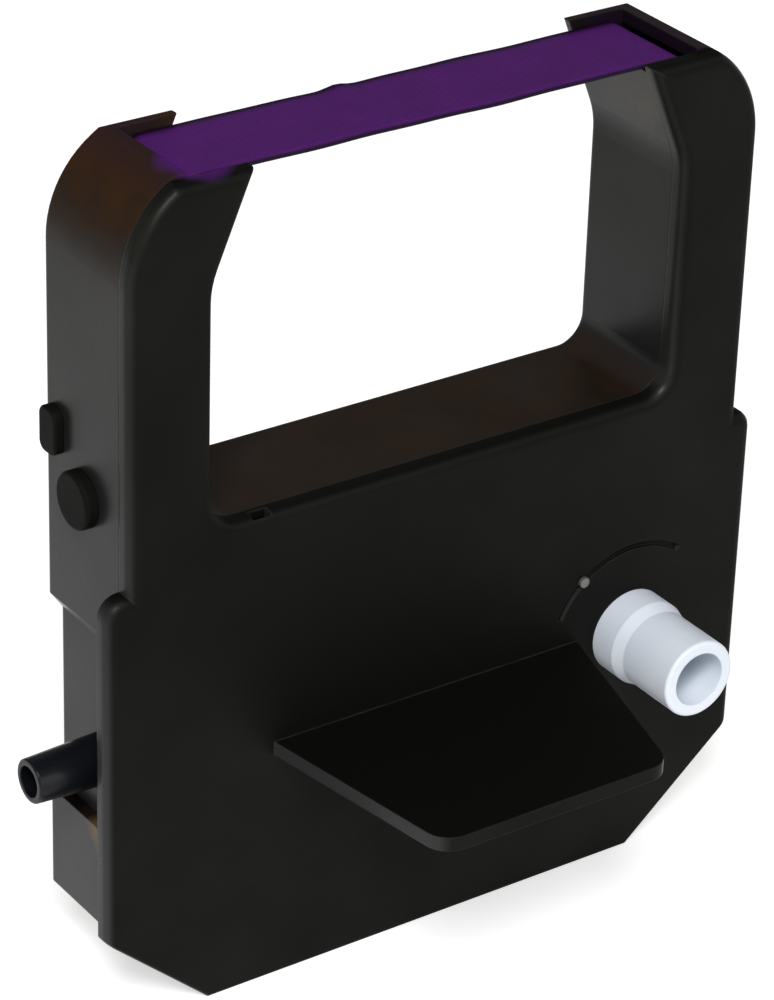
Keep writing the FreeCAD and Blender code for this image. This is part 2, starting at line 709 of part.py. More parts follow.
def make_drive_knob():
    """White moulding: hollow splined knob, journal and toothed feed wheel in one piece."""
    body = new_body("drive_knob")
    place(body, "drive_x", "0", "drive_z")
    profile = sketch_on(body, "knob_profile", "side")
    rear_end = "back_inner - 0.1"
    thrust_face = "cover_inner + washer_thickness + running_gap"
    outline(profile, [
        ("knob_front", "knob_bore"),
        ("knob_front + spline_start", "knob_bore"),
        ("knob_front + spline_start", "deep_bore"),
        ("knob_front + knob_bore_depth", "deep_bore"),
        ("knob_front + knob_bore_depth", "0"),
        (rear_end, "0"),
        (rear_end, "rear_journal"),
        ("wheel_back", "rear_journal"),
        ("wheel_back", "wheel_radius"),
        ("wheel_front", "wheel_radius"),
        ("wheel_front", "knob_base_radius + thrust_ring"),
        (thrust_face, "knob_base_radius + thrust_ring"),
        (thrust_face, "knob_base_radius"),
        ("front - knob_base_length", "knob_base_radius"),
        ("front - knob_base_length - knob_taper", "knob_radius"),
        ("knob_front", "knob_radius", "knob_lip"),
    ])
    spin(body, "knob_turned", profile, "H_Axis")

    tooth = sketch_on(body, "tooth_gap", "front", "wheel_front - 0.5")
    half_pitch = "wheel_radius * tan(180 / wheel_teeth) * 0.8"
    outline(tooth, [(f"-{half_pitch}", "wheel_radius + 0.2"), ("0", "wheel_radius - tooth_depth"),
                    (half_pitch, "wheel_radius + 0.2")])
    gap = pocket(body, "tooth_cut", tooth, "wheel_width + 1")
    around(body, "teeth", gap, "wheel_teeth")

    core = sketch_on(body, "core_ring", "front", "wheel_back")
    circles(core, [("0", "0", "wheel_radius - tooth_depth - wheel_rim"), ("0", "0", "wheel_hub")])
    pocket(body, "core", core, "wheel_core_depth", flip=True)
    rib = sketch_on(body, "core_rib_outline", "front", "wheel_back")
    outline(rib, [
        ("wheel_hub - 0.4", "-wheel_rib / 2"),
        ("wheel_radius - tooth_depth - wheel_rim / 2", "-wheel_rib / 2"),
        ("wheel_radius - tooth_depth - wheel_rim / 2", "wheel_rib / 2"),
        ("wheel_hub - 0.4", "wheel_rib / 2"),
    ])
    web = pad(body, "core_rib", rib, "wheel_core_depth")
    around(body, "core_ribs", web, "wheel_ribs")

    key = sketch_on(body, "spline_outline", "front", "knob_front + spline_start + spline_length")
    outline(key, [
        ("-spline_width / 2", "deep_bore - spline_height"),
        ("spline_width / 2", "deep_bore - spline_height"),
        ("spline_width / 2", "deep_bore + 0.3"),
        ("-spline_width / 2", "deep_bore + 0.3"),
    ])
    one = pad(body, "spline", key, "spline_length")
    around(body, "spline_set", one, "splines")
    return body


def make_thrust_washer():
    """Thin ring that keeps the feed wheel off the cover."""
    body = new_body("thrust_washer")
    place(body, "drive_x", "0", "drive_z")
    ring = sketch_on(body, "washer_ring", "front", "cover_inner")
    inner = "knob_base_radius + 4 * running_gap"
    circles(ring, [("0", "0", inner), ("0", "0", f"{inner} + washer_width")])
    pad(body, "washer", ring, "washer_thickness", flip=True)
    return body


def make_pressure_roller():
    """Toothed roller that presses the ribbon on the feed wheel."""
    body = new_body("pressure_roller")
    place(body, "roller_x", "middle", "roller_z")
    profile = sketch_on(body, "roller_profile", "side")
    half = "roller_width / 2"
    outline(profile, [
        (f"-{half}", "axle_radius + running_gap"),
        (half, "axle_radius + running_gap"),
        (half, "roller_radius", "0.3"),
        (f"-{half}", "roller_radius", "0.3"),
    ])
    spin(body, "roller_turned", profile, "H_Axis")
    tooth = sketch_on(body, "roller_gap", "front", f"-{half} - 0.5")
    half_pitch = "roller_radius * tan(180 / roller_teeth) * 0.8"
    outline(tooth, [(f"-{half_pitch}", "roller_radius + 0.2"), ("0", "roller_radius - tooth_depth"),
                    (half_pitch, "roller_radius + 0.2")])
    gap = pocket(body, "roller_cut", tooth, "roller_width + 1")
    around(body, "roller_teeth_set", gap, "roller_teeth")
    return body


def make_roller_axle():
    """Steel pin through the arm's cheeks."""
    body = new_body("roller_axle")
    place(body, "roller_x", "middle", "roller_z")
    profile = sketch_on(body, "axle_profile", "side")
    half = "(room / 2 - arm_side_gap)"
    outline(profile, [
        (f"-{half}", "0"),
        (half, "0"),
        (half, "axle_radius", "0.2"),
        (f"-{half}", "axle_radius", "0.2"),
    ])
    spin(body, "axle_turned", profile, "H_Axis")
    return body


def make_pressure_arm():
    """Forked lever that carries the pressure roller and turns on a post of the shell."""
    body = new_body("pressure_arm")
    half = "(room / 2 - arm_side_gap)"
    side = sketch_on(body, "arm_side", "front", f"middle + {half}")
    outline(side, [
        ("arm_pivot_x - arm_boss", "arm_pivot_z - arm_boss", "arm_boss - 0.1"),
        ("roller_x + arm_boss", "roller_z - arm_boss", "arm_boss - 0.2"),
        ("roller_x + arm_boss", "roller_z + arm_boss", "arm_boss - 0.2"),
        ("arm_pivot_x + arm_bridge + 1", "arm_pivot_z + arm_boss - 0.3", "1.5"),
        ("arm_pivot_x + arm_bridge", "seat_z"),
        ("arm_pivot_x + 3.2", "seat_z"),
        ("arm_pivot_x + 1.2", "arm_pivot_z + arm_boss"),
        ("arm_pivot_x - arm_boss", "arm_pivot_z + arm_boss", "arm_boss - 0.1"),
    ])
    pad(body, "arm_block", side, f"2 * {half}")
    fork = sketch_on(body, "fork_gap", "front", f"middle - {half} + cheek_thickness")
    far = "roller_x + arm_boss + 2"
    outline(fork, [
        ("arm_pivot_x + arm_bridge", "arm_pivot_z - 12"),
        (far, "arm_pivot_z - 12"),
        (far, "arm_pivot_z + 12"),
        ("arm_pivot_x + arm_bridge", "arm_pivot_z + 12"),
    ])
    pocket(body, "fork", fork, f"2 * ({half} - cheek_thickness)")
    bore = sketch_on(body, "arm_bores", "front", f"middle - {half}")
    circles(bore, [
        ("arm_pivot_x", "arm_pivot_z", "pivot_post + running_gap"),
        ("roller_x", "roller_z", "axle_radius + 0.01"),
    ])
    pocket(body, "bores", bore, f"2 * {half}")
    pip = sketch_on(body, "seat_pip_place", "top", "seat_z - 0.5")
    circles(pip, [("seat_x", "middle", "seat_pip")])
    pad(body, "seat_pip_pad", pip, "seat_pip_height + 0.5")
    return body


def make_pressure_spring():
    """Steel coil between the arm and the shell."""
    body = new_body("pressure_spring")
    place(body, "seat_x", "middle", "seat_z")
    wire = sketch_on(body, "wire_section", "front")
    circles(wire, [("spring_radius", "spring_wire + 0.02", "spring_wire")])
    coil = body.newObject("PartDesign::AdditiveHelix", "coil")
    coil.Profile = wire
    coil.ReferenceAxis = (wire, ["V_Axis"])
    coil.Mode = "height-turns-growth"
    free_height = "(ceiling - seat_z - 2 * spring_wire - 0.04)"
    coil.setExpression("Height", bound(free_height))
    coil.setExpression("Turns", bound("spring_turns"))
    doc.recompute()
    return body


def make_guide_roller(name, side):
    """Small sleeve on a post at the tip of an arm, where the ribbon turns."""
    body = new_body(name)
    place(body, f"{side} * guide_x", "middle", "guide_z")
    profile = sketch_on(body, f"{name}_profile", "side")
    half = "(room / 2 - 0.3)"
    outline(profile, [
        (f"-{half}", "guide_post + running_gap"),
        (half, "guide_post + running_gap"),
        (half, "guide_radius", "0.25"),
        (f"-{half}", "guide_radius", "0.25"),
    ])
    spin(body, f"{name}_turned", profile, "H_Axis")
    return body


def make_tension_spring():
    """Bent steel leaf that presses the brake pad on the ribbon."""
    body = new_body("tension_spring")
    leaf = sketch_on(body, "leaf_outline", "front", "middle + leaf_width / 2")
    foot = "leaf_foot_x"
    end = "(leaf_end_x + leaf_thickness / 2)"
    thick = "leaf_thickness / 2"
    outline(leaf, [
        (f"-({foot} + {thick})", "leaf_foot_low"),
        (f"-({foot} - {thick})", "leaf_foot_low"),
        (f"-({foot} - {thick})", "leaf_foot_high", "0.6"),
        (f"-({end} - {thick})", "brake_low", "0.6"),
        (f"-({end} - {thick})", "brake_high"),
        (f"-({end} + {thick})", "brake_high"),
        (f"-({end} + {thick})", "brake_low + 0.1", "0.6 + leaf_thickness"),
        (f"-({foot} + {thick})", "leaf_foot_high + 0.1", "0.6 + leaf_thickness"),
    ])
    pad(body, "leaf", leaf, "leaf_width")
    return body


def make_tension_pad():
    """Felt pad glued to the leaf's end."""
    body = new_body("tension_pad")
    face = sketch_on(body, "pad_outline", "front", "middle + leaf_width / 2")
    outline(face, [
        ("-leaf_end_x", "brake_low + 0.6"),
        ("-pad_face", "brake_low + 0.6", "0.3"),
        ("-pad_face", "brake_high - 0.2", "0.3"),
        ("-leaf_end_x", "brake_high - 0.2"),
    ])
    pad(body, "felt", face, "leaf_width")
    return body


def make_side_peg():
    """Blue-black hollow tapered peg pressed into the recess of the left wall."""
    body = new_body("side_peg")
    place(body, "0", "peg_y", "peg_z")
    profile = sketch_on(body, "peg_profile", "front")
    root = "-recess_half"
    tip = "-(recess_half + peg_length)"
    outline(profile, [
        (f"{tip} + peg_bore_depth", "0"),
        ("-(recess_half - wall - spigot_past_wall)", "0"),
        ("-(recess_half - wall - spigot_past_wall)", "peg_spigot"),
        (root, "peg_spigot"),
        (root, "peg_root"),
        (tip, "peg_end", "0.25"),
        (tip, "peg_bore"),
        (f"{tip} + peg_bore_depth", "peg_bore"),
    ])
    spin(body, "peg_turned", profile, "H_Axis")
    return body


def make_locating_stud():
    """Round stud that finds the cartridge's place in the printer."""
    body = new_body("locating_stud")
    place(body, "0", "stud_y", "stud_z")
    profile = sketch_on(body, "stud_profile", "front")
    inner_end = "-(inner_half - spigot_past_wall)"
    outline(profile, [
        ("-(case_half + stud_height)", "0"),
        (inner_end, "0"),
        (inner_end, "spigot_radius"),
        ("-case_half", "spigot_radius"),
        ("-case_half", "stud_radius"),
        ("-(case_half + stud_height)", "stud_radius", "0.5"),
    ])
    spin(body, "stud_turned", profile, "H_Axis")
    return body


def make_locating_key():
    """Oblong key above and behind the stud."""
    body = new_body("locating_key")
    face = sketch_on(body, "key_face", "side", "-case_half")
    left, right = "key_y - key_width / 2", "key_y + key_width / 2"
    low, high = "key_z - key_height / 2", "key_z + key_height / 2"
    corner = "key_width * 0.35"
    outline(face, [(left, low, corner), (right, low, corner), (right, high, corner), (left, high, corner)])
    pad(body, "key_block", face, "key_proud", flip=True)
    side = number("-(case_half + key_proud)")
    soften(body, "key_edges", "0.35", lambda edge: abs(edge.BoundBox.XMax - side) < 1e-4)
    root = sketch_on(body, "key_spigot_place", "side", "-case_half - key_proud / 2")
    circles(root, [("key_y", "key_z", "spigot_radius")])
    pad(body, "key_spigot", root, "key_proud / 2 + wall - 0.1")
    return body


def tangent_arc(centre, radius, start, middle, end):
    """Arc of a circle through three angles in degrees."""
    at = [centre + FreeCAD.Vector(math.cos(math.radians(a)), 0, math.sin(math.radians(a))) * radius
          for a in (start, middle, end)]
    return Part.Arc(*at).toShape()


def band(shift):
    """One side of the ribbon's run, from the folds round both arms to the nip, as edges."""
    def at(x, z):
        return FreeCAD.Vector(number(x), 0, number(z))
    turn = number("guide_turn") + shift
    low_turn = number("lower_turn") + shift
    nip = number("nip_angle")
    left = at("-guide_x", "guide_z")
    right = at("guide_x", "guide_z")
    low = at("lower_x", "lower_z")
    along = FreeCAD.Vector(math.sin(math.radians(nip)), 0, -math.cos(math.radians(nip)))
    across = FreeCAD.Vector(along.z, 0, -along.x) * -1
    leave = low - across * low_turn
    into = at("nip_x", "nip_z") - across * shift - along * (number("nip_x - feed_guard_x + 1.5") / along.x)
    start = FreeCAD.Vector(left.x - turn, 0, number("fold_high - 2"))
    edges = [
        Part.makeLine(start, left - FreeCAD.Vector(turn, 0, 0)),
        tangent_arc(left, turn, 180, 135, 90),
        Part.makeLine(left + FreeCAD.Vector(0, 0, turn), right + FreeCAD.Vector(0, 0, turn)),
        tangent_arc(right, turn, 90, 45, 0),
        Part.makeLine(right + FreeCAD.Vector(turn, 0, 0), low + FreeCAD.Vector(low_turn, 0, 0)),
        tangent_arc(low, low_turn, 0, (nip - 180) / 2, nip - 180),
        Part.makeLine(leave, into),
    ]
    return edges


def fold_pack():
    """The ribbon stuffed in the case: its folds side by side, closed into one outline."""
    left = number("-(ribbon_x + fold_spread)")
    right = number("feed_guard_x - 0.9")
    count = int((right - left) / number("fold_pitch"))
    pitch = (right - left) / count
    low, high = number("fold_low"), number("fold_high")
    edges = []
    for i in range(count):
        x = left + i * pitch
        rise = pitch * (0.3 + 0.15 * math.sin(i * 1.7))
        dip = pitch * (0.3 + 0.15 * math.sin(i * 2.3 + 1))
        for z, bulge in ((high, rise), (low, -dip)):
            crest = FreeCAD.Vector(x + pitch / 2, 0, z + bulge)
            edges.append(Part.Arc(FreeCAD.Vector(x, 0, z), crest, FreeCAD.Vector(x + pitch, 0, z)).toShape())
    for x in (left, right):
        edges.append(Part.makeLine(FreeCAD.Vector(x, 0, low), FreeCAD.Vector(x, 0, high)))
    return Part.Face(Part.Wire(Part.__sortEdges__(edges)))


def make_inked_ribbon():
    """Endless inked ribbon: the run over both arms and the folds in the case, one solid."""
    half = number("ribbon_half")
    outer, inner = band(half), band(-half)
    caps = [
        Part.makeLine(outer[0].Vertexes[0].Point, inner[0].Vertexes[0].Point),
        Part.makeLine(outer[-1].Vertexes[-1].Point, inner[-1].Vertexes[-1].Point),
    ]
    run = Part.Face(Part.Wire(Part.__sortEdges__(outer + inner + caps)))
    across = FreeCAD.Vector(0, number("ribbon_width"), 0)
    solid = run.extrude(across).fuse(fold_pack().extrude(across)).removeSplitter()
    ribbon = doc.addObject("Part::Feature", "inked_ribbon")
    ribbon.Shape = solid.Solids[0]
    ribbon.Label = "inked_ribbon"
    ribbon.Placement.Base = FreeCAD.Vector(0, number("middle - ribbon_width / 2"), 0)
    return ribbon


parts = [
    make_rear_shell(),
    make_front_cover(),
    make_drive_knob(),
    make_thrust_washer(),
    make_pressure_roller(),
    make_roller_axle(),
    make_pressure_arm(),
    make_pressure_spring(),
    make_guide_roller("guide_roller_left", -1),
    make_guide_roller("guide_roller_right", 1),
    make_tension_spring(),
    make_tension_pad(),
    make_side_peg(),
    make_locating_stud(),
    make_locating_key(),
    make_inked_ribbon(),
]
doc.recompute()

faults = [item.Name for item in doc.Objects if {"Invalid", "Error"} & set(item.State)]
for item in parts:
    shape = item.Shape
    if shape.isNull() or not shape.isValid() or len(shape.Solids) != 1:
        faults.append(item.Label)
if faults:
    raise RuntimeError("not built: " + ", ".join(faults))

os.makedirs("parts", exist_ok=True)
for item in parts:
    item.Shape.exportStep(f"parts/{item.Label}.step")
    box = item.Shape.BoundBox
    print(f"{item.Label}: {item.Shape.Volume:.0f} mm3, x {box.XMin:.2f} to {box.XMax:.2f}, "
          f"y {box.YMin:.2f} to {box.YMax:.2f}, z {box.ZMin:.2f} to {box.ZMax:.2f}")
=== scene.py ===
# %% [markdown]
# # A ribbon cartridge from a small dot-matrix printer
# The cartridge is a flat black box with two arms. An inked ribbon crosses the gap between the arms,
# and a white knob winds it on. The hard pieces come from the CAD model exactly as they are, so this
# lesson is mostly about finishes: what each moulding is made of, and how that shows in soft light.
# Only the ribbon is built here, because a woven cloth isn't a block.

# %% Load the CAD frame
import math
import random

import bmesh
import bpy
from mathutils import Matrix, Vector


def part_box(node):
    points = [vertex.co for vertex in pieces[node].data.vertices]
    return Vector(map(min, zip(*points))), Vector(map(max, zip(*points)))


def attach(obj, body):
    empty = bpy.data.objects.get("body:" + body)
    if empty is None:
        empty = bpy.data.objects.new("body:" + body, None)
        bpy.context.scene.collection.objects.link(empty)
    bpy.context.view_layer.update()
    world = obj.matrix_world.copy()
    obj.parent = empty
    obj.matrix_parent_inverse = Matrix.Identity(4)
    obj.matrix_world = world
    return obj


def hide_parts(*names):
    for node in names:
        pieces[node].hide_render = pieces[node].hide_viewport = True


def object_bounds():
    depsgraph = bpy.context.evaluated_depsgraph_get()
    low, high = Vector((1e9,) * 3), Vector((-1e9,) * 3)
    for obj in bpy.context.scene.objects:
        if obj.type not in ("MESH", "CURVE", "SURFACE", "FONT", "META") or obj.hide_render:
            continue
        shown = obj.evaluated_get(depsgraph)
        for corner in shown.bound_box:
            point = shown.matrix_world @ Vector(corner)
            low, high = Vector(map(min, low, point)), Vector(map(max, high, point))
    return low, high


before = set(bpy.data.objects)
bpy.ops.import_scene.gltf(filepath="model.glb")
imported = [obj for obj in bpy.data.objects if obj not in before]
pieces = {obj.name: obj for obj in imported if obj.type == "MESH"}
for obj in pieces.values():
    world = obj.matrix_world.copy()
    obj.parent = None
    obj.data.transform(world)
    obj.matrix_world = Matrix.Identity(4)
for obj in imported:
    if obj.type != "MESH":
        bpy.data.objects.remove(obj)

cad_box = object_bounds()
MM = 0.001
print("pieces in the frame:", len(pieces))

# %% [markdown]
# ## Colours and nodes
# Colours are written as they look on a screen, in hex, and one function turns them into the linear
# values that a shader wants. A second small function adds a node, sets it and links it, so each
# finish below reads from top to bottom like a recipe.

# %% Two helpers
def colour(text):
    """A screen colour such as #1e1f1c as linear red, green, blue and alpha."""
    parts = [int(text[i:i + 2], 16) / 255 for i in (1, 3, 5)]
    return [c / 12.92 if c <= 0.04045 else ((c + 0.055) / 1.055) ** 2.4 for c in parts] + [1]


def add(material, kind, inputs, **settings):
    """Adds a node to a material. Numbers and colours in inputs are set, and sockets are linked."""
    made = material.node_tree.nodes.new(kind)
    for name, value in settings.items():
        setattr(made, name, value)
    for name, value in inputs.items():
        if isinstance(value, bpy.types.NodeSocket):
            material.node_tree.links.new(value, made.inputs[name])
        else:
            made.inputs[name].default_value = value
    return made


# A Mix node has one pair of sockets for each kind of value, all called A and B. These are its colour ones.
MIX_A, MIX_B, MIXED = 6, 7, 2
print("black plastic in linear light:", [round(c, 4) for c in colour("#1e1f1c")[:3]])

# %% [markdown]
# ## Moulded plastic
# A moulding copies its steel mould. Where the mould was spark-eroded, the plastic has a fine satin
# grain, and handling leaves broad faint patches that are a little shinier. An image could show
# that, but noise in the piece's own coordinates works at any distance and from every side. The real
# grain is about 0.1 mm, too fine to show here, so it is drawn three to eight times as coarse. A
# Bevel node rounds the light on the sharp edges, as the mould's own small radius does, and the
# angle between its normal and the real one marks the edges. These get a lighter colour, which is
# partly rubbed wear and partly a painted highlight.

# %% A recipe for moulded plastic
def new_finish(name):
    """An empty material with its shader and the piece's own coordinates."""
    material = bpy.data.materials.new(name)
    material.use_nodes = True
    shader = material.node_tree.nodes["Principled BSDF"]
    place = add(material, "ShaderNodeTexCoord", {}).outputs["Object"]
    return material, shader, place


def moulded(name, dark, light, rough, grain_mm, relief, edge_wear_and_highlight, edge_mm=0.3, patch_mm=14):
    """A plastic finish whose edges get a lighter colour, partly wear and partly painted highlight, over
    whatever is mixed in under them.
    """
    material, shader, place = new_finish(name)
    link = material.node_tree.links.new
    patches = add(material, "ShaderNodeTexNoise", {
        "Vector": place, "Scale": 1 / (patch_mm * MM), "Detail": 4,
    })
    spread = add(material, "ShaderNodeMapRange", {
        "Value": patches.outputs["Fac"], "From Min": 0.32, "From Max": 0.68,
    })
    tone = add(material, "ShaderNodeMix", {
        0: spread.outputs["Result"], MIX_A: colour(dark), MIX_B: colour(light),
    }, data_type="RGBA")
    gloss = add(material, "ShaderNodeMapRange", {
        "Value": patches.outputs["Fac"], "From Min": 0.32, "From Max": 0.68,
        "To Min": rough + 0.05, "To Max": rough - 0.05,
    })
    rounded = add(material, "ShaderNodeBevel", {"Radius": edge_mm * MM}, samples=4)
    true = add(material, "ShaderNodeNewGeometry", {}).outputs["Normal"]
    cosine = add(material, "ShaderNodeVectorMath", {
        0: rounded.outputs["Normal"], 1: true,
    }, operation="DOT_PRODUCT")
    # The edges get a lighter colour: partly rubbed wear, partly a painted highlight.
    rub_and_highlight = add(material, "ShaderNodeMapRange", {
        "Value": cosine.outputs["Value"], "From Min": 0.985, "From Max": 0.87, "To Max": 0.6,
    })
    chips = add(material, "ShaderNodeTexNoise", {"Vector": place, "Scale": 1 / (2.5 * MM), "Detail": 3})
    worn_and_highlit = add(material, "ShaderNodeMath", {
        0: rub_and_highlight.outputs["Result"], 1: chips.outputs["Fac"],
    }, operation="MULTIPLY")
    surface = add(material, "ShaderNodeMix", {
        0: worn_and_highlit.outputs["Value"], MIX_A: tone.outputs[MIXED], MIX_B: colour(edge_wear_and_highlight),
    }, data_type="RGBA")
    surface.name = "surface"
    grain = add(material, "ShaderNodeTexNoise", {
        "Vector": place, "Scale": 1 / (grain_mm * MM), "Detail": 2,
    })
    bump = add(material, "ShaderNodeBump", {
        "Height": grain.outputs["Fac"], "Strength": relief, "Distance": 0.03 * MM,
        "Normal": rounded.outputs["Normal"],
    })
    link(surface.outputs[MIXED], shader.inputs["Base Color"])
    link(gloss.outputs["Result"], shader.inputs["Roughness"])
    link(bump.outputs["Normal"], shader.inputs["Normal"])
    return material, shader


def mixed_in(material, amount, new_colour, blend="MIX"):
    """Mixes a colour in under the lighter edge colour (wear and painted highlight), as far as the socket
    amount says.
    """
    under = material.node_tree.nodes["surface"].inputs[MIX_A]
    mixed = add(material, "ShaderNodeMix", {
        0: amount, MIX_A: under.links[0].from_socket, MIX_B: colour(new_colour),
    }, data_type="RGBA", blend_type=blend)
    material.node_tree.links.new(mixed.outputs[MIXED], under)


def paint_patch(material, spot, reach_mm, patch_colour, strength=1.6):
    """Paints a round patch about a place given in millimetres, for a real stain or for painted light. Noise
    frays its edge.
    """
    place = material.node_tree.nodes["Texture Coordinate"].outputs["Object"]
    specks = add(material, "ShaderNodeTexNoise", {"Vector": place, "Scale": 1 / (2 * MM), "Detail": 4})
    centre = [c * MM for c in spot]
    away = add(material, "ShaderNodeVectorMath", {
        0: place, 1: centre,
    }, operation="DISTANCE").outputs["Value"]
    near = add(material, "ShaderNodeMapRange", {
        "Value": away, "From Min": reach_mm * MM, "From Max": reach_mm * MM * 0.65, "To Max": strength,
    })
    amount = add(material, "ShaderNodeMath", {0: near.outputs["Result"], 1: specks.outputs["Fac"]},
                 operation="MULTIPLY", use_clamp=True)
    mixed_in(material, amount.outputs["Value"], patch_colour)


def dress(material, *names):
    """Gives CAD pieces their finish."""
    for name in names:
        pieces[name].data.materials.clear()
        pieces[name].data.materials.append(material)
    print(material.name, "on", ", ".join(names))


# %% [markdown]
# ## The front plate
# The plate is black polystyrene. Its front has a spark-eroded texture, which scatters the light and
# keeps it nearly plain black. Its edges are smooth, because a textured wall would stick in the
# mould, and they mirror the pale table as the shell's walls do. So one finish has two levels of
# gloss, and the way a face points decides between them; the faces that point to the front or up are
# also darkened as painted shade. Polystyrene has an IOR near 1.59, but fine texture swallows much
# of the mirror reflection, so the specular level is below the usual 0.5.
# Towards the bottom the sides get a painted grey reflection, the raised dot by the knob has a
# painted highlight, and wet ink has stained the edge where the ribbon meets the left arm.

# %% Textured black polystyrene
PLATE_SPECULAR = 0.11
SHELL_SPECULAR = 0.13
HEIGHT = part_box("rear_shell")[1][2]


def textured_and_shaded_front(material, shader, duller, shade_tint):
    """Makes the faces that point to the front or up duller, and darkens them as painted shade."""
    gloss = shader.inputs["Roughness"].links[0].from_socket
    faces = add(material, "ShaderNodeNewGeometry", {}).outputs["Normal"]
    facing = add(material, "ShaderNodeSeparateXYZ", {"Vector": faces})
    ahead = add(material, "ShaderNodeMath", {0: facing.outputs["Y"], 1: -1.0}, operation="MULTIPLY")
    shown = add(material, "ShaderNodeMath", {
        0: ahead.outputs["Value"], 1: facing.outputs["Z"],
    }, operation="MAXIMUM")
    front = add(material, "ShaderNodeMapRange", {
        "Value": shown.outputs["Value"], "From Min": 0.6, "From Max": 0.9,
    })
    dull = add(material, "ShaderNodeMath", {
        0: front.outputs["Result"], 1: duller, 2: gloss,
    }, operation="MULTIPLY_ADD")
    material.node_tree.links.new(dull.outputs["Value"], shader.inputs["Roughness"])
    # Painted shade: the faces that point to the front or up are darkened by the tint.
    mixed_in(material, front.outputs["Result"], shade_tint, "MULTIPLY")


def painted_side_reflection(material, reflection_grey):
    """Paints a grey reflection into the faces that point sideways, stronger towards the bottom."""
    place = material.node_tree.nodes["Texture Coordinate"].outputs["Object"]
    height = add(material, "ShaderNodeSeparateXYZ", {"Vector": place}).outputs["Z"]
    low = add(material, "ShaderNodeMapRange", {"Value": height, "From Min": HEIGHT * 0.8, "From Max": 0})
    faces = add(material, "ShaderNodeNewGeometry", {}).outputs["Normal"]
    sideways = add(material, "ShaderNodeSeparateXYZ", {"Vector": faces}).outputs["X"]
    side = add(material, "ShaderNodeMath", {0: sideways}, operation="ABSOLUTE")
    amount = add(material, "ShaderNodeMath", {
        0: low.outputs["Result"], 1: side.outputs["Value"],
    }, operation="MULTIPLY")
    # Painted reflection: grey on the sideways faces, more towards the bottom.
    mixed_in(material, amount.outputs["Value"], reflection_grey)


# Places in millimetres: the raised dot by the knob, and where the ribbon meets the left arm
DOT = (20.2, -9.15, 40.0)
RIBBON_END = (-31.2, -4.0, 102.6)
plate, plate_shader = moulded(
    "black_polystyrene_plate", dark="#161613", light="#1e1e1b", edge_wear_and_highlight="#3a3a36",
    rough=0.3, grain_mm=0.4, relief=0.3,
)
plate_shader.inputs["Specular IOR Level"].default_value = PLATE_SPECULAR
# Painted grey reflection on the plate's sides.
painted_side_reflection(plate, "#3c3c3e")
# Painted shade on the faces that point to the front or up, which are also rougher.
textured_and_shaded_front(plate, plate_shader, duller=0.36, shade_tint="#6c6e5a")
# Painted highlight: a light patch on the raised dot by the knob.
paint_patch(plate, DOT, reach_mm=0.8, patch_colour="#70706d", strength=2)
paint_patch(plate, RIBBON_END, reach_mm=4.7, patch_colour="#42155a", strength=2.4)
dress(plate, "front_cover")

# %% [markdown]
# ## The shell
# The shell behind the plate has smooth walls. Its side walls are seen at a low angle, and they get
# a painted grey reflection of the pale table. The faces that point up get a painted warm brown
# reflection, strongest round the left slot, and near both slots the ribbon wipes some of its violet
# ink on to the plastic. The painted reflection is mixed in by how far a surface faces the sky and
# how near it is to the left slot, the ink by how near it is to either slot, and noise breaks both up.
# Three round patches are mixed in: an ink stain at the ribbon's left end, and painted warm
# reflection at the tip of the right arm and on the floor under the peg.

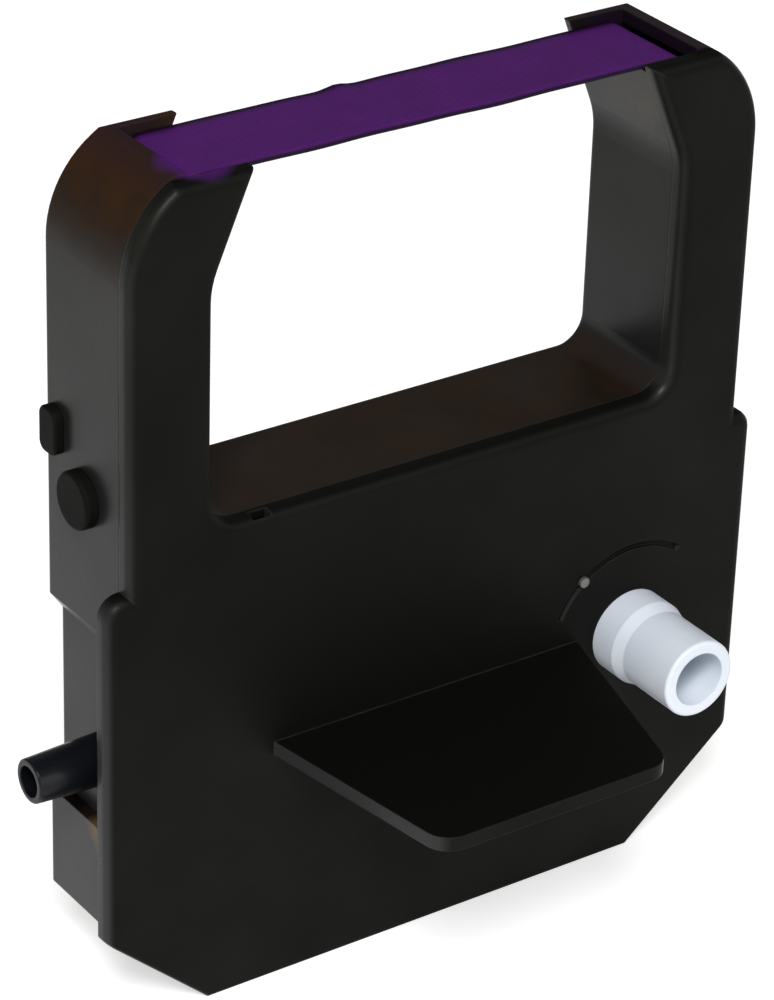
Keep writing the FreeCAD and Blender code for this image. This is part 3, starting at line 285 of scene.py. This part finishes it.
# %% Black shell with a film of dust and ink
def painted_reflection_and_ink(material, shader, warm_reflection, ink, slot_x, slot_z, reach_mm):
    """Paints a warm brown reflection on what points up and round the left slot, and lays ink near the slots
    on both sides.
    """
    place = material.node_tree.nodes["Texture Coordinate"].outputs["Object"]
    faces = add(material, "ShaderNodeNewGeometry", {}).outputs["Normal"]
    up = add(material, "ShaderNodeSeparateXYZ", {"Vector": faces}).outputs["Z"]
    specks = add(material, "ShaderNodeTexNoise", {"Vector": place, "Scale": 1 / (4 * MM), "Detail": 5})
    apart = add(material, "ShaderNodeSeparateXYZ", {"Vector": place})
    lying = add(material, "ShaderNodeMapRange", {
        "Value": up, "From Min": 0.2, "From Max": 0.8, "To Max": 0.6,
    })
    flat = add(material, "ShaderNodeCombineXYZ", {"X": apart.outputs["X"], "Z": apart.outputs["Z"]})
    left = add(material, "ShaderNodeVectorMath", {0: flat.outputs["Vector"], 1: (-slot_x, 0, slot_z)},
               operation="DISTANCE")
    brown = add(material, "ShaderNodeMapRange", {
        "Value": left.outputs["Value"], "From Min": 2.4 * reach_mm * MM, "From Max": reach_mm * MM,
        "To Max": 1.3,
    })
    # Painted warm reflection: more where a face points up and near the left slot; it also makes the surface
    # rougher.
    reflection_amount = add(material, "ShaderNodeMath", {
        0: lying.outputs["Result"], 1: brown.outputs["Result"],
    }, operation="ADD")
    warm_reflection_mask = add(material, "ShaderNodeMath", {0: reflection_amount.outputs["Value"], 1: specks.outputs["Fac"]},
                operation="MULTIPLY", use_clamp=True)
    mixed_in(material, warm_reflection_mask.outputs["Value"], warm_reflection)
    gloss = shader.inputs["Roughness"].links[0].from_socket
    dull = add(material, "ShaderNodeMath", {
        0: warm_reflection_mask.outputs["Value"], 1: 0.5, 2: gloss,
    }, operation="MULTIPLY_ADD")
    material.node_tree.links.new(dull.outputs["Value"], shader.inputs["Roughness"])
    side = add(material, "ShaderNodeMath", {0: apart.outputs["X"]}, operation="ABSOLUTE")
    folded = add(material, "ShaderNodeCombineXYZ", {"X": side.outputs["Value"], "Z": apart.outputs["Z"]})
    away = add(material, "ShaderNodeVectorMath", {0: folded.outputs["Vector"], 1: (slot_x, 0, slot_z)},
               operation="DISTANCE")
    near = add(material, "ShaderNodeMapRange", {
        "Value": away.outputs["Value"], "From Min": reach_mm * MM, "From Max": 0, "To Max": 1.3,
    })
    inky = add(material, "ShaderNodeMath", {0: near.outputs["Result"], 1: specks.outputs["Fac"]},
               operation="MULTIPLY", use_clamp=True)
    mixed_in(material, inky.outputs["Value"], ink)


left_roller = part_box("guide_roller_left")
SLOT_X = -left_roller[0][0]
SLOT_Z = left_roller[1][2]
RIGHT_TIP = (28, -3, 99)
RECESS_FLOOR = (-41, -4, 23.5)
shell, shell_shader = moulded(
    "black_abs_shell", dark="#12110f", light="#191816", edge_wear_and_highlight="#32302c",
    rough=0.3, grain_mm=0.35, relief=0.3,
)
# Painted grey reflection on the shell's sides.
painted_side_reflection(shell, "#39393b")
# Painted warm brown reflection on the shell's upward faces and round the left slot, and real ink near both
# slots.
painted_reflection_and_ink(shell, shell_shader, "#301c09", "#1a0b20", SLOT_X, SLOT_Z, reach_mm=6.5)
paint_patch(shell, RIBBON_END, reach_mm=4.9, patch_colour="#42155a", strength=2.4)
# Painted warm reflection: a brown patch at the tip of the right arm.
paint_patch(shell, RIGHT_TIP, reach_mm=6, patch_colour="#2b2210")
# Painted warm reflection: a tan patch on the ledge under the peg.
paint_patch(shell, RECESS_FLOOR, reach_mm=5, patch_colour="#66543a", strength=2)
shell_shader.inputs["Specular IOR Level"].default_value = SHELL_SPECULAR
dress(shell, "rear_shell")
print("ink is thickest at x", round(SLOT_X, 4), "z", round(SLOT_Z, 4))

# %% [markdown]
# ## The white knob
# The knob and its feed wheel are one moulding in acetal, a slippery plastic that needs no oil. It
# is white with a cold cast and lets a little light in, so its shadows are soft. A low subsurface
# weight shows that without making it waxy.

# %% White acetal
acetal, acetal_shader = moulded(
    "white_acetal", dark="#d6dee9", light="#e0e6ee", edge_wear_and_highlight="#eceef4",
    rough=0.4, grain_mm=0.5, relief=0.12, edge_mm=0.2,
)
acetal_shader.inputs["IOR"].default_value = 1.48
acetal_shader.inputs["Subsurface Weight"].default_value = 0.15
acetal_shader.inputs["Subsurface Radius"].default_value = (1, 1, 1)
acetal_shader.inputs["Subsurface Scale"].default_value = 0.8 * MM
dress(acetal, "drive_knob")

# %% [markdown]
# ## Small mouldings
# The side peg is turned or moulded in a denser blue-black plastic and is the glossiest of the
# plastics. The studs are plain black. The rollers inside are natural acetal, and the pressure arm
# is nylon filled with glass, which comes out of its mould dull, with the fibres just under its
# skin.

# %% Peg, studs, rollers, arm and washer
peg, peg_shader = moulded(
    "gloss_blue_black_nylon", dark="#0b0c10", light="#111217", edge_wear_and_highlight="#1c1e28",
    rough=0.3, grain_mm=0.8, relief=0.08,
)
peg_shader.inputs["Specular IOR Level"].default_value = 0.16
dress(peg, "side_peg")
stud, stud_shader = moulded(
    "black_rubber_studs", dark="#0a0a09", light="#10100f", edge_wear_and_highlight="#1c1c1b",
    rough=0.62, grain_mm=0.4, relief=0.25,
)
stud_shader.inputs["Specular IOR Level"].default_value = 0.05
dress(stud, "locating_stud", "locating_key")
natural, _ = moulded(
    "natural_acetal", dark="#8f9090", light="#a3a4a4", edge_wear_and_highlight="#b8b9b9",
    rough=0.38, grain_mm=0.4, relief=0.15,
)
dress(natural, "pressure_roller", "guide_roller_left", "guide_roller_right")
filled, _ = moulded(
    "glass_filled_nylon", dark="#161616", light="#232322", edge_wear_and_highlight="#3a3a39",
    rough=0.58, grain_mm=0.3, relief=0.5,
)
dress(filled, "pressure_arm")
washer, _ = moulded(
    "grey_nylon_washer", dark="#7d7f80", light="#8a8c8c", edge_wear_and_highlight="#9a9c9c",
    rough=0.5, grain_mm=0.4, relief=0.15,
)
dress(washer, "thrust_washer")

# %% [markdown]
# ## Steel and felt
# Spring steel is rolled or drawn, which leaves fine lines along it. Stretched noise gives those
# lines. A metal's colour is its reflection, so its base colour is light, its metallic value is 1
# and its IOR stays alone. The brake pad is pressed wool felt: no weave, only tangled fibres, so it
# is one twisted noise with much fine detail and a deep bump.

# %% Drawn spring steel
steel, steel_shader, steel_place = new_finish("drawn_spring_steel")
along_wire = add(steel, "ShaderNodeMapping", {"Vector": steel_place, "Scale": (1, 1, 0.05)})
lines = add(steel, "ShaderNodeTexNoise", {
    "Vector": along_wire.outputs["Vector"], "Scale": 1 / (0.3 * MM), "Detail": 3,
})
steel_tone = add(steel, "ShaderNodeMix", {
    0: lines.outputs["Fac"], MIX_A: colour("#8c8d8f"), MIX_B: colour("#b9babb"),
}, data_type="RGBA")
steel_gloss = add(steel, "ShaderNodeMapRange", {
    "Value": lines.outputs["Fac"], "To Min": 0.22, "To Max": 0.4,
})
steel_shader.inputs["Metallic"].default_value = 1
steel.node_tree.links.new(steel_tone.outputs[MIXED], steel_shader.inputs["Base Color"])
steel.node_tree.links.new(steel_gloss.outputs["Result"], steel_shader.inputs["Roughness"])
dress(steel, "pressure_spring", "tension_spring", "roller_axle")

# %% Pressed grey felt
felt, felt_shader, felt_place = new_finish("pressed_wool_felt")
tangle = add(felt, "ShaderNodeTexNoise", {
    "Vector": felt_place, "Scale": 1 / (0.5 * MM), "Detail": 6, "Distortion": 1.5,
})
felt_tone = add(felt, "ShaderNodeMix", {
    0: tangle.outputs["Fac"], MIX_A: colour("#4a4a48"), MIX_B: colour("#83827e"),
}, data_type="RGBA")
felt_bump = add(felt, "ShaderNodeBump", {
    "Height": tangle.outputs["Fac"], "Strength": 0.8, "Distance": 0.15 * MM,
})
felt_shader.inputs["Roughness"].default_value = 0.95
felt_shader.inputs["Specular IOR Level"].default_value = 0.2
felt.node_tree.links.new(felt_tone.outputs[MIXED], felt_shader.inputs["Base Color"])
felt.node_tree.links.new(felt_bump.outputs["Normal"], felt_shader.inputs["Normal"])
dress(felt, "tension_pad")

# %% [markdown]
# ## The ribbon's path
# The ribbon is one endless loop of woven nylon, 13 mm wide. It climbs the left arm, turns over a
# small roller, crosses the gap in the open, turns down into the right arm, and goes round a post to
# the knob's feed wheel. From there it is pushed into the case, where it lies in loose folds until
# the left arm pulls it out again. A curve with a flat bevel could follow that path, but bmesh
# operators keep the cloth's threads straight: a row of points across the width is extruded along
# each straight run and spun round each turn. Every row remembers how far along the cloth it is, for
# the weave.

# %% Two moves for the end of the cloth
THICK = 0.2 * MM
WIDTH = 13 * MM
MIDDLE = 0.4 * MM
THREADS = 8

strip = bmesh.new()
along = strip.verts.layers.float.new("along")
travelled = 0


def keep_row(made):
    """The new end row: its points, with how far along the cloth they are, and the edges between them."""
    points = [p for p in made if isinstance(p, bmesh.types.BMVert)]
    for point in points:
        point[along] = travelled
    between = [e for e in made if isinstance(e, bmesh.types.BMEdge) and all(p in points for p in e.verts)]
    return points + between


def straight(row, target_x, target_z, step=2 * MM):
    """Extrudes the end row to a place, in steps of about one length."""
    global travelled
    start = next(p for p in row if isinstance(p, bmesh.types.BMVert)).co
    way = Vector((target_x - start.x, 0, target_z - start.z))
    count = max(1, round(way.length / step))
    for _ in range(count):
        edges = [e for e in row if isinstance(e, bmesh.types.BMEdge)]
        made = bmesh.ops.extrude_edge_only(strip, edges=edges)["geom"]
        points = [p for p in made if isinstance(p, bmesh.types.BMVert)]
        bmesh.ops.translate(strip, verts=points, vec=way / count)
        travelled += way.length / count
        row = keep_row(made)
    return row


def turned(row, centre_x, centre_z, degrees, radius, steps=8):
    """Spins the end row round a roller or a fold. A positive angle turns clockwise, seen from the front."""
    global travelled
    for _ in range(steps):
        made = bmesh.ops.spin(strip, geom=row, cent=(centre_x, 0, centre_z), axis=(0, 1, 0),
                              angle=math.radians(degrees / steps), steps=1)["geom_last"]
        travelled += math.radians(abs(degrees) / steps) * radius
        row = keep_row(made)
    return row


START_X = -33.0988 * MM
START_Z = 42 * MM
first = []
for i in range(THREADS + 1):
    first.append(strip.verts.new((START_X, MIDDLE + WIDTH * (i / THREADS - 0.5), START_Z)))
row = first + [strip.edges.new(pair) for pair in zip(first, first[1:])]
print("points across the ribbon:", len(first))

# %% [markdown]
# ## Over both arms and down to the nip
# The places are the CAD model's, in millimetres: the corner rollers, the lower post and the line of
# the nip, which leans back by 9 degrees. The cloth passes 0.15 mm clear of each roller, as it does
# in the CAD.

# %% The open run
ROLLER_X, ROLLER_Z, ROLLER_TURN = 31.3238 * MM, 101 * MM, 1.775 * MM
POST_X, POST_Z, POST_TURN = 31.6238 * MM, 43.73 * MM, 1.475 * MM
NIP = math.radians(99)
TO_NIP = 81
row = straight(row, -ROLLER_X - ROLLER_TURN, ROLLER_Z)
row = turned(row, -ROLLER_X, ROLLER_Z, 90, ROLLER_TURN)
row = straight(row, ROLLER_X, ROLLER_Z + ROLLER_TURN, 1 * MM)
row = turned(row, ROLLER_X, ROLLER_Z, 90, ROLLER_TURN)
row = straight(row, POST_X + POST_TURN, POST_Z)
row = turned(row, POST_X, POST_Z, TO_NIP, POST_TURN)
leave_x = POST_X + POST_TURN * math.cos(NIP - math.pi)
leave_z = POST_Z + POST_TURN * math.sin(NIP - math.pi)
print("leaves the post at", round(leave_x / MM, 2), round(leave_z / MM, 2))
print("way to there:", round(travelled / MM), "mm")

# %% [markdown]
# ## Into the nip and the folds
# Past the nip the cloth is pushed into the case and drops into upright folds, one beside the other,
# as wide as the cloth is stiff. Their ends are uneven, because nothing guides them. The last fold
# is the one that goes up the left arm, so its end row meets the first one and the loop is closed.

# %% The folds
LEGS = 38
LEG_STEP = 7 * MM
BEND = 0.6 * MM
FIRST_LEG = 13.2 * MM
LAST_LEG = -ROLLER_X - ROLLER_TURN
PITCH = (FIRST_LEG - LAST_LEG) / (LEGS - 1)
LOW_ENDS = (9.0, 10.2)
HIGH_ENDS = (40.4, 41.8)
NIP_X, NIP_Z = 25.993 * MM, 41.349 * MM
lean = NIP - math.radians(90)
bend_x = FIRST_LEG + BEND
bend_start_x = bend_x - BEND * math.sin(lean)
bend_start_z = NIP_Z - (NIP_X - bend_start_x) * math.tan(lean)
bend_z = bend_start_z - BEND * math.cos(lean)
row = straight(row, NIP_X, NIP_Z)
row = straight(row, bend_start_x, bend_start_z)
row = turned(row, bend_x, bend_z, -TO_NIP, BEND, 5)

uneven = random.Random(4)
here = FIRST_LEG
for leg in range(LEGS - 1):
    going_down = leg % 2 == 0
    ends = LOW_ENDS if going_down else HIGH_ENDS
    end_z = uneven.uniform(*ends) * MM
    row = straight(row, here, end_z, LEG_STEP)
    row = turned(row, here - PITCH / 2, end_z, 180 if going_down else -180, PITCH / 2, 6)
    here -= PITCH
row = straight(row, here, START_Z, LEG_STEP)
cloth_length = travelled
bmesh.ops.remove_doubles(strip, verts=strip.verts[:], dist=0.02 * MM)
print("length of ribbon:", round(cloth_length, 3), "m in", len(strip.faces), "faces")

# %% [markdown]
# ## Slack and kinks
# Pulled cloth is never quite flat. In the open gap its two edges lift and dip by about a tenth of a
# millimetre, and its back edge has a small kink left of the middle, where it lay folded in the
# case. Moving the points by sine waves that fade out at the rollers gives that without losing the
# straight pull.

# %% Shape the open run
WAVE, RIPPLE, SAG = 0.07, 0.04, 0.08
WAVE_LENGTH, RIPPLE_LENGTH = 4.3 * MM, 1.9 * MM
KINK_X, KINK_WIDTH, KINK_HEIGHT = -6.2 * MM, 1.6 * MM, 0.45
for point in strip.verts:
    open_run = point.co.z > ROLLER_Z + 1.5 * MM and abs(point.co.x) < ROLLER_X
    if open_run:
        fade = math.cos(math.pi / 2 * point.co.x / ROLLER_X)
        across = (point.co.y - MIDDLE) / (WIDTH / 2)
        wave = WAVE * math.sin(point.co.x / WAVE_LENGTH)
        wave += RIPPLE * math.sin(point.co.x / RIPPLE_LENGTH + 2 * across)
        kink = KINK_HEIGHT * max(0, across) ** 2 * math.exp(-((point.co.x - KINK_X) / KINK_WIDTH) ** 2)
        point.co.z += fade * (across * wave + kink - SAG) * MM

cloth_map = strip.loops.layers.uv.new("cloth")
for face in strip.faces:
    ends = [corner.vert[along] for corner in face.loops]
    crosses_join = max(ends) - min(ends) > cloth_length / 2
    for corner in face.loops:
        length = corner.vert[along]
        if crosses_join and length < cloth_length / 2:
            length += cloth_length
        corner[cloth_map].uv = (length, corner.vert.co.y)
bmesh.ops.recalc_face_normals(strip, faces=strip.faces[:])
for face in strip.faces:
    face.smooth = True
ribbon_mesh = bpy.data.meshes.new("ribbon_cloth")
strip.to_mesh(ribbon_mesh)
strip.free()
ribbon = bpy.data.objects.new("ribbon_cloth", ribbon_mesh)
bpy.context.collection.objects.link(ribbon)
cloth = ribbon.modifiers.new("thickness", "SOLIDIFY")
cloth.thickness = THICK
cloth.offset = 0
print("open run is", round(2 * ROLLER_X / MM, 1), "mm between the rollers")

# %% [markdown]
# ## Inked nylon
# The cloth is a plain weave of nylon soaked in violet ink. A real thread is about 0.14 mm from the
# next, too fine to show, so the weave is drawn at 0.42 mm. Two sine waves crossed give the threads,
# in the cloth's own coordinates so that they turn with it. The ink is wet enough to shine a little,
# it has sunk unevenly, and it is darker along both edges, where the cut threads are sealed.

# %% Violet ink on nylon
THREAD = 0.42 * MM
SEALED, SEAL_FADE = 0.3 * MM, 0.9 * MM
ink, ink_shader, _ = new_finish("violet_inked_nylon")
cloth_place = add(ink, "ShaderNodeUVMap", {}, uv_map="cloth").outputs["UV"]
cloth_parts = add(ink, "ShaderNodeSeparateXYZ", {"Vector": cloth_place})
turns = 2 * math.pi / THREAD
waves = []
for axis in ("X", "Y"):
    phase = add(ink, "ShaderNodeMath", {0: cloth_parts.outputs[axis], 1: turns}, operation="MULTIPLY")
    waves.append(add(ink, "ShaderNodeMath", {0: phase.outputs["Value"]}, operation="SINE").outputs["Value"])
crossed = add(ink, "ShaderNodeMath", {0: waves[0], 1: waves[1]}, operation="MULTIPLY")
threads = add(ink, "ShaderNodeMapRange", {"Value": crossed.outputs["Value"], "From Min": -1})
soaked = add(ink, "ShaderNodeTexNoise", {"Vector": cloth_place, "Scale": 1 / (5 * MM), "Detail": 4})
depth = add(ink, "ShaderNodeMix", {
    0: threads.outputs["Result"], MIX_A: colour("#370d4a"), MIX_B: colour("#5b1c78"),
}, data_type="RGBA")
patchy = add(ink, "ShaderNodeMapRange", {
    "Value": soaked.outputs["Fac"], "From Min": 0.3, "From Max": 0.7, "To Max": 0.35,
})
uneven_ink = add(ink, "ShaderNodeMix", {
    0: patchy.outputs["Result"], MIX_A: depth.outputs[MIXED], MIX_B: colour("#310e44"),
}, data_type="RGBA")
from_middle = add(ink, "ShaderNodeMath", {0: cloth_parts.outputs["Y"], 1: MIDDLE}, operation="SUBTRACT")
from_middle = add(ink, "ShaderNodeMath", {0: from_middle.outputs["Value"]}, operation="ABSOLUTE")
edge_band = add(ink, "ShaderNodeMapRange", {
    "Value": from_middle.outputs["Value"], "From Min": WIDTH / 2 - SEAL_FADE,
    "From Max": WIDTH / 2 - SEALED,
})
inked = add(ink, "ShaderNodeMix", {
    0: edge_band.outputs["Result"], MIX_A: uneven_ink.outputs[MIXED], MIX_B: colour("#1b0628"),
}, data_type="RGBA")
weave = add(ink, "ShaderNodeBump", {
    "Height": threads.outputs["Result"], "Strength": 0.5, "Distance": 0.06 * MM,
})
wet = add(ink, "ShaderNodeMapRange", {"Value": soaked.outputs["Fac"], "To Min": 0.65, "To Max": 0.5})
ink_shader.inputs["Specular IOR Level"].default_value = 0.15
ink.node_tree.links.new(inked.outputs[MIXED], ink_shader.inputs["Base Color"])
ink.node_tree.links.new(wet.outputs["Result"], ink_shader.inputs["Roughness"])
ink.node_tree.links.new(weave.outputs["Normal"], ink_shader.inputs["Normal"])
ribbon.data.materials.append(ink)

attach(ribbon, "case")
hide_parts("inked_ribbon")
print("threads across the ribbon:", round(WIDTH / THREAD))

# %% [markdown]
# ## Table and light
# The table is a big pale sheet. For the camera and for reflections it is lifted to plain white with
# a little light of its own, while its diffuse part keeps the shadow. A soft box stands above, in
# front and to the left, where the small bright spots on the rounded corners show that the light
# came from. A weaker one in front fills the knob's shadows. The sky is dim, because the faces that
# point up are the darkest in the picture: all they mirror is the room above.

# %% Table
TABLE_GLOW = 0.6
table_mesh = bpy.data.meshes.new("table")
board = bmesh.new()
bmesh.ops.create_grid(board, x_segments=1, y_segments=1, size=3)
board.to_mesh(table_mesh)
board.free()
table = bpy.data.objects.new("table", table_mesh)
bpy.context.collection.objects.link(table)
paper = bpy.data.materials.new("white_paper")
paper.use_nodes = True
nodes = paper.node_tree.nodes
nodes.remove(nodes["Principled BSDF"])
matt = add(paper, "ShaderNodeBsdfDiffuse", {"Color": colour("#e9e9e9")})
ray = add(paper, "ShaderNodeLightPath", {})
seen = add(paper, "ShaderNodeMath", {0: ray.outputs["Is Camera Ray"], 1: ray.outputs["Is Glossy Ray"]},
           operation="MAXIMUM")
seen = add(paper, "ShaderNodeMath", {0: seen.outputs["Value"], 1: ray.outputs["Is Transmission Ray"]},
           operation="MAXIMUM")
lift = add(paper, "ShaderNodeMath", {0: seen.outputs["Value"], 1: TABLE_GLOW}, operation="MULTIPLY")
glow = add(paper, "ShaderNodeEmission", {"Strength": lift.outputs["Value"]})
both = add(paper, "ShaderNodeAddShader", {0: matt.outputs["BSDF"], 1: glow.outputs["Emission"]})
paper.node_tree.links.new(both.outputs["Shader"], nodes["Material Output"].inputs["Surface"])
table.data.materials.append(paper)

# %% Light
world = bpy.data.worlds.new("dim_room")
world.use_nodes = True
world.node_tree.nodes["Background"].inputs["Color"].default_value = colour("#f4f2ee")
world.node_tree.nodes["Background"].inputs["Strength"].default_value = 0.22
bpy.context.scene.world = world

centre = Vector(((cad_box[0][i] + cad_box[1][i]) / 2 for i in range(3)))


def soft_box(name, towards, distance, size, level):
    """A square soft light, aimed at the object. level is how bright white paper facing it would look."""
    lamp = bpy.data.lights.new(name, "AREA")
    lamp.shape = "SQUARE"
    lamp.size = size
    lamp.energy = level * math.pi ** 2 * distance ** 2
    stand = bpy.data.objects.new(name, lamp)
    way = Vector(towards).normalized()
    stand.location = centre + way * distance
    stand.rotation_euler = way.to_track_quat("Z", "Y").to_euler()
    bpy.context.collection.objects.link(stand)
    print(name, "at", [round(c, 2) for c in stand.location], "with", round(lamp.energy, 1), "W")


soft_box("key_soft_box", (-0.42, -0.52, 0.72), distance=1.0, size=0.3, level=0.85)
soft_box("front_soft_box", (0.1, -0.95, 0.3), distance=1.2, size=0.8, level=0.35)

# %% [markdown]
# ## Camera
# The photograph was taken from the front left and a little above, with a long lens: parallel edges
# barely draw together. The camera's place, its three angles and its lens were fitted to corners of
# the case that the photograph and the CAD model share.

# %% Camera
lens = bpy.data.cameras.new("camera")
lens.sensor_fit = "HORIZONTAL"
lens.sensor_width = 36
lens.lens = 188.65
lens.clip_start = 0.01
camera = bpy.data.objects.new("camera", lens)
turn = Matrix.Rotation(math.radians(-35.417), 4, "Z")
tilt = Matrix.Rotation(math.radians(90 - 28.467), 4, "X")
roll = Matrix.Rotation(math.radians(1.909), 4, "Z")
camera.matrix_world = Matrix.Translation((-0.23985, -0.33422, 0.27554)) @ turn @ tilt @ roll
bpy.context.collection.objects.link(camera)
bpy.context.scene.camera = camera
bpy.context.scene.view_settings.view_transform = "Standard"
print("camera looks along", [round(c, 3) for c in camera.matrix_world.to_3x3() @ Vector((0, 0, -1))])
